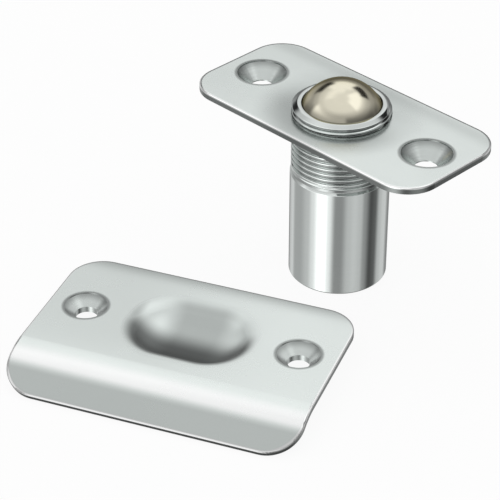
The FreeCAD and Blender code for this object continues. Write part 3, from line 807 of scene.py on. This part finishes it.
class CATCH_OT_barrel(bpy.types.Operator):
    """Turned barrel with a helical thread, a relief and the lip that traps the ball"""

    bl_idname = "catch.barrel"
    bl_label = "Build barrel"

    def execute(self, context):
        sizes, finish = context.scene.catch_sizes, context.scene.catch_finish
        facing = context.scene.catch_stage.camera_turn[2] - math.pi / 2
        crest = BARREL_HIGH.x - sizes.thread_ease
        groove = {"root": crest - sizes.thread_depth, "crest": crest,
                  "top": BARREL_HIGH.z - sizes.mouth_drop}
        material = turned_metal("barrel_plating", finish.barrel_colour,
                                finish.barrel_roughness, finish, groove)
        new_piece("threaded_barrel", barrel_shape(sizes, facing), "barrel", material,
                  "barrel")
        return {"FINISHED"}


class CATCH_OT_ball(bpy.types.Operator):
    """Polished ball that stands out of the barrel's mouth"""

    bl_idname = "catch.ball"
    bl_label = "Build ball"

    def execute(self, context):
        finish = context.scene.catch_finish
        # The ball's painted shadow above its seat.
        seat = {"foot": BARREL_HIGH.z, "clear": BARREL_HIGH.z + finish.seat_fade,
                "shade": finish.seat_painted_shadow}
        material = polished_metal("ball_plating", finish.ball_colour, finish.ball_roughness,
                                  cloud=300.0, edge=finish.ball_edge, seat=seat)
        new_piece("polished_ball", ball_shape(), "ball", material, "ball")
        return {"FINISHED"}


class CATCH_OT_spring(bpy.types.Operator):
    """Coil spring under the ball, that shortens as the ball goes down"""

    bl_idname = "catch.spring"
    bl_label = "Build spring"

    def execute(self, context):
        sizes, finish = context.scene.catch_sizes, context.scene.catch_finish
        material = polished_metal("spring_wire", finish.spring_colour, roughness=0.3, cloud=500.0)
        spring = new_piece("coil_spring", spring_shape(sizes), "spring_stack", material,
                           "spring")
        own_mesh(spring)
        return {"FINISHED"}


class CATCH_OT_plates(bpy.types.Operator):
    """Plating of the faceplate and the strike plate, and the brass of the end plug"""

    bl_idname = "catch.plates"
    bl_label = "Finish plates and plug"

    def execute(self, context):
        sizes, finish = context.scene.catch_sizes, context.scene.catch_finish
        # The faceplate is flat: its bend starts a metre away and has no angle.
        flat = {"start": 1.0, "radius": 0.01, "angle": 0.0, "top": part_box("faceplate")[1].z}
        face = plated_sheet("faceplate_plating", finish, {
            "half_length": sizes.face_length / 2, "half_width": sizes.face_width / 2,
            "corner": sizes.face_corner, "centre": (0.0, 0.0), "turn": 0.0, "shift": 0.0,
            "bend": flat, "barrel": BARREL_HIGH.x,
            "sinks": {"half_spacing": sizes.screw_spacing / 2, "radius": sizes.face_sink}})
        lip = (sizes.bend_reach + sizes.bend_radius * math.sin(sizes.bend_angle)
               + sizes.lip_length * math.cos(sizes.bend_angle))
        bend = {"start": sizes.bend_reach, "radius": sizes.bend_radius,
                "angle": sizes.bend_angle, "top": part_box("strike_plate")[1].z}
        strike = plated_sheet("strike_plating", finish, {
            "half_length": sizes.strike_length / 2, "half_width": (sizes.strike_back + lip) / 2,
            "corner": sizes.strike_corner, "centre": tuple(sizes.strike_place),
            "turn": sizes.strike_turn, "shift": (sizes.strike_back - lip) / 2, "bend": bend,
            "lip": sizes.bend_radius * sizes.bend_angle,
            "sinks": {"half_spacing": sizes.screw_spacing / 2, "radius": sizes.strike_sink},
            "dimple": {"half_length": sizes.dimple_length / 2, "half_width": sizes.dimple_width / 2,
                       "corner": sizes.dimple_corner}})
        plug = turned_metal("plug_brass", finish.plug_colour, roughness=0.25, finish=finish)
        for node, material in (("faceplate", face), ("strike_plate", strike), ("end_plug", plug)):
            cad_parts[node].data.materials[0] = material
        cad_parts["strike_plate"].visible_glossy = False
        return {"FINISHED"}


# What the metals see of the studio. The walls: brightness by azimuth in degrees.
WALLS = (
    (-180, 0.50), (-165, 0.26), (-125, 0.22), (-104, 0.60), (-92, 0.70), (-77, 0.42), (-58, 0.42),
    (-33, 0.58), (-20, 0.85), (0, 1.55), (10, 1.50), (20, 1.00), (36, 0.30), (48, 0.30),
    (66, 0.56), (80, 0.63), (95, 0.56), (105, 0.32), (122, 0.08), (135, 0.12), (152, 0.55),
    (165, 0.65),
)
# The ceiling: brightness by elevation in degrees.
CEILING = ((0, 0.36), (18, 0.34), (30, 0.50), (42, 0.72), (55, 0.84), (75, 0.86), (90, 0.84))
FLOOR_LEVEL = 0.26
# Panels: azimuth and elevation of the middle, half width, half height, softness, brightness.
PANELS = (
    (-137, 42, 28, 15, 12, 1.05),
    (-105, 63, 45, 8, 16, 1.05),
    (140, 60, 40, 14, 14, 1.20),
    (-110, 26, 15, 9, 9, 0.02),
    (-178, 36, 18, 9, 8, 0.02),
    (0, 22, 55, 14, 14, 1.30),
    (-165, 0, 45, 12, 12, 0.05),
)
# The floor in metres: half its size, where it starts to rise and how strongly.
FLOOR_HALF, FLOOR_BEND, FLOOR_RISE = 1.5, 0.6, 0.8
LAMP_PLACE, LAMP_SIZE = (-0.25, 0.1, 0.6), 0.5


class CATCH_OT_stage(bpy.types.Operator):
    """Pale floor, soft light, studio surround and the camera"""

    bl_idname = "catch.stage"
    bl_label = "Set stage"

    def execute(self, context):
        stage = context.scene.catch_stage
        self.floor(stage)
        self.surround(context.scene)
        self.card(stage)
        self.lamp(stage)
        self.camera(context.scene, stage)
        context.scene.view_settings.view_transform = "Standard"
        return {"FINISHED"}

    def floor(self, stage):
        """A flat pale sheet that bends up behind the set: its height is the rise times the
        square of how far a point lies beyond the bend's start."""
        across, along = np.meshgrid(np.linspace(-FLOOR_HALF, FLOOR_HALF, 13),
                                    np.linspace(-FLOOR_HALF, FLOOR_HALF, 61))
        height = FLOOR_RISE * np.maximum(along - FLOOR_BEND, 0) ** 2
        turn = stage.camera_turn[2]
        points = np.stack([across * math.cos(turn) - along * math.sin(turn),
                           across * math.sin(turn) + along * math.cos(turn), height], axis=-1)
        index = np.arange(across.size).reshape(across.shape)
        faces = np.stack([index[:-1, :-1], index[:-1, 1:], index[1:, 1:], index[1:, :-1]], axis=-1)
        floor = new_object("floor", points.reshape(-1, 3), faces.reshape(-1, 4).tolist())
        floor.data.shade_smooth()
        floor.visible_glossy = False
        material, nodes = new_material("pale_floor")
        paper = nodes.add("ShaderNodeBsdfDiffuse", {"Color": (*stage.floor_colour, 1.0)})
        white = nodes.add("ShaderNodeEmission", {"Color": WHITE, "Strength": 1.0})
        camera_ray = nodes.add("ShaderNodeLightPath").outputs["Is Camera Ray"]
        veil = nodes.times(camera_ray, stage.floor_veil)
        nodes.show("ShaderNodeOutputMaterial", veil, paper, white)
        floor.data.materials.append(material)

    def surround(self, scene):
        """The light of the whole room by direction. The camera itself sees plain white."""
        world = bpy.data.worlds.new("studio")
        scene.world = world
        world.use_nodes = True
        nodes = Nodes(world.node_tree)
        parts = nodes.split(nodes.add("ShaderNodeTexCoord").outputs["Generated"])
        back = nodes.times(parts["Y"], -1.0)
        azimuth = nodes.math("DEGREES", nodes.math("ARCTAN2", parts["X"], back))
        elevation = nodes.math("DEGREES", nodes.math("ARCSINE", parts["Z"]))
        walls = self.ramp_of(nodes, azimuth, WALLS, -180, 180)
        light = self.ramp_of(nodes, elevation, CEILING, 0, 90)
        for turn, rise, wide, tall, soft, bright in PANELS:
            mask = nodes.shared(
                studio_panel(), azimuth=azimuth, elevation=elevation,
                middle_azimuth=float(turn), middle_elevation=float(rise),
                half_width=float(wide), half_height=float(tall), soft=float(soft))["Mask"]
            light = nodes.blend(mask, light, bright)
        walls = nodes.blend(nodes.fade(elevation, "floor line"), FLOOR_LEVEL, walls)
        around = nodes.blend(nodes.fade(elevation, "wall top"), walls, light)
        camera_ray = nodes.add("ShaderNodeLightPath").outputs["Is Camera Ray"]
        room = nodes.add("ShaderNodeBackground", {"Strength": around, "Color": WHITE})
        plain = nodes.add("ShaderNodeBackground", {"Strength": 1.0, "Color": WHITE})
        nodes.show("ShaderNodeOutputWorld", camera_ray, room, plain)

    def card(self, stage):
        """A pale card with a dark foot between the catch and the strike plate. Only gloss sees
        it, and only from the strike plate's side: its back is clear."""
        turn = bpy.context.scene.catch_sizes.strike_turn
        along = np.array((math.cos(turn), math.sin(turn), 0.0))
        out = np.array((math.sin(turn), -math.cos(turn), 0.0)) * stage.card_distance
        ends = [(stage.card_left, 0), (stage.card_right, 0), (stage.card_right, 1),
                (stage.card_left, 1)]
        heights = (0.0, stage.card_high)
        points = [out + along * way + np.array((0, 0, heights[top])) for way, top in ends]
        card = new_object("card", points, [(0, 1, 2, 3)])
        card.visible_camera = card.visible_diffuse = card.visible_shadow = False
        card.visible_transmission = card.visible_volume_scatter = False
        material, nodes = new_material("pale_card")
        parts = nodes.split(nodes.add("ShaderNodeTexCoord").outputs["Object"])
        way = nodes.math("MULTIPLY_ADD", parts["X"], along[0], nodes.times(parts["Y"], along[1]))
        level = nodes.smooth(way, stage.card_left / 2, 0.0, stage.card_end, stage.card_level)
        above = nodes.smooth(parts["Z"], stage.card_low, stage.card_low + stage.card_blend)
        level = nodes.blend(above, stage.card_foot, level)
        pale = nodes.add("ShaderNodeEmission", {"Strength": level})
        clear = nodes.add("ShaderNodeBsdfTransparent")
        back = nodes.add("ShaderNodeNewGeometry").outputs["Backfacing"]
        nodes.show("ShaderNodeOutputMaterial", back, pale, clear)
        card.data.materials.append(material)

    def ramp_of(self, nodes, angle, table, first, last):
        """A number that follows a table of angles and brightnesses."""
        brightest = max(light for _, light in table)
        share_of = nodes.add("ShaderNodeMapRange", {
            "Value": angle, "From Min": float(first), "From Max": float(last)}).outputs["Result"]
        lookup = nodes.add("ShaderNodeValToRGB", {"Fac": share_of})
        lookup.color_ramp.interpolation = "EASE"
        stops = lookup.color_ramp.elements
        while len(stops) < len(table):
            stops.new(0.5)
        for stop, (place, light) in zip(stops, table):
            stop.position = (place - first) / (last - first)
            stop.color = (*(light / brightest,) * 3, 1.0)
        return nodes.times(lookup.outputs["Color"], brightest)

    def lamp(self, stage):
        light = bpy.data.lights.new("soft_lamp", "AREA")
        light.shape, light.size, light.energy = "DISK", LAMP_SIZE, stage.lamp_power
        lamp = bpy.data.objects.new("soft_lamp", light)
        lamp.location = LAMP_PLACE
        aim = -lamp.location
        lamp.rotation_euler = aim.to_track_quat("-Z", "Y").to_euler()
        lamp.visible_glossy = False
        bpy.context.scene.collection.objects.link(lamp)

    def camera(self, scene, stage):
        data = bpy.data.cameras.new("camera")
        data.lens, data.sensor_width = stage.lens, 36.0
        data.clip_start, data.clip_end = 0.01, 10.0
        camera = bpy.data.objects.new("camera", data)
        camera.location = stage.camera_place
        camera.rotation_euler = stage.camera_turn
        scene.collection.objects.link(camera)
        scene.camera = camera


class CATCH_PT_panel(bpy.types.Panel):
    """The builders and their settings"""

    bl_idname = "CATCH_PT_panel"
    bl_label = "Ball catch"
    bl_space_type = "VIEW_3D"
    bl_region_type = "UI"
    bl_category = "Ball catch"

    def draw(self, context):
        for settings in (context.scene.catch_sizes, context.scene.catch_finish,
                         context.scene.catch_stage):
            column = self.layout.column(align=True)
            for name in settings.__annotations__:
                column.prop(settings, name)
        for operator in OPERATORS:
            self.layout.operator(operator.bl_idname)


SETTINGS = {"catch_sizes": CatchSizes, "catch_finish": CatchFinish, "catch_stage": CatchStage}
OPERATORS = (CATCH_OT_barrel, CATCH_OT_ball, CATCH_OT_spring, CATCH_OT_plates, CATCH_OT_stage)


def register():
    for item in (*SETTINGS.values(), *OPERATORS, CATCH_PT_panel):
        bpy.utils.register_class(item)
    for name, group in SETTINGS.items():
        setattr(bpy.types.Scene, name, bpy.props.PointerProperty(type=group))


def unregister():
    for name in SETTINGS:
        delattr(bpy.types.Scene, name)
    for item in reversed((*SETTINGS.values(), *OPERATORS, CATCH_PT_panel)):
        bpy.utils.unregister_class(item)


def main():
    register()
    bpy.ops.catch.barrel()
    bpy.ops.catch.ball()
    bpy.ops.catch.spring()
    bpy.ops.catch.plates()
    bpy.ops.catch.stage()


if __name__ == "__main__":
    main()
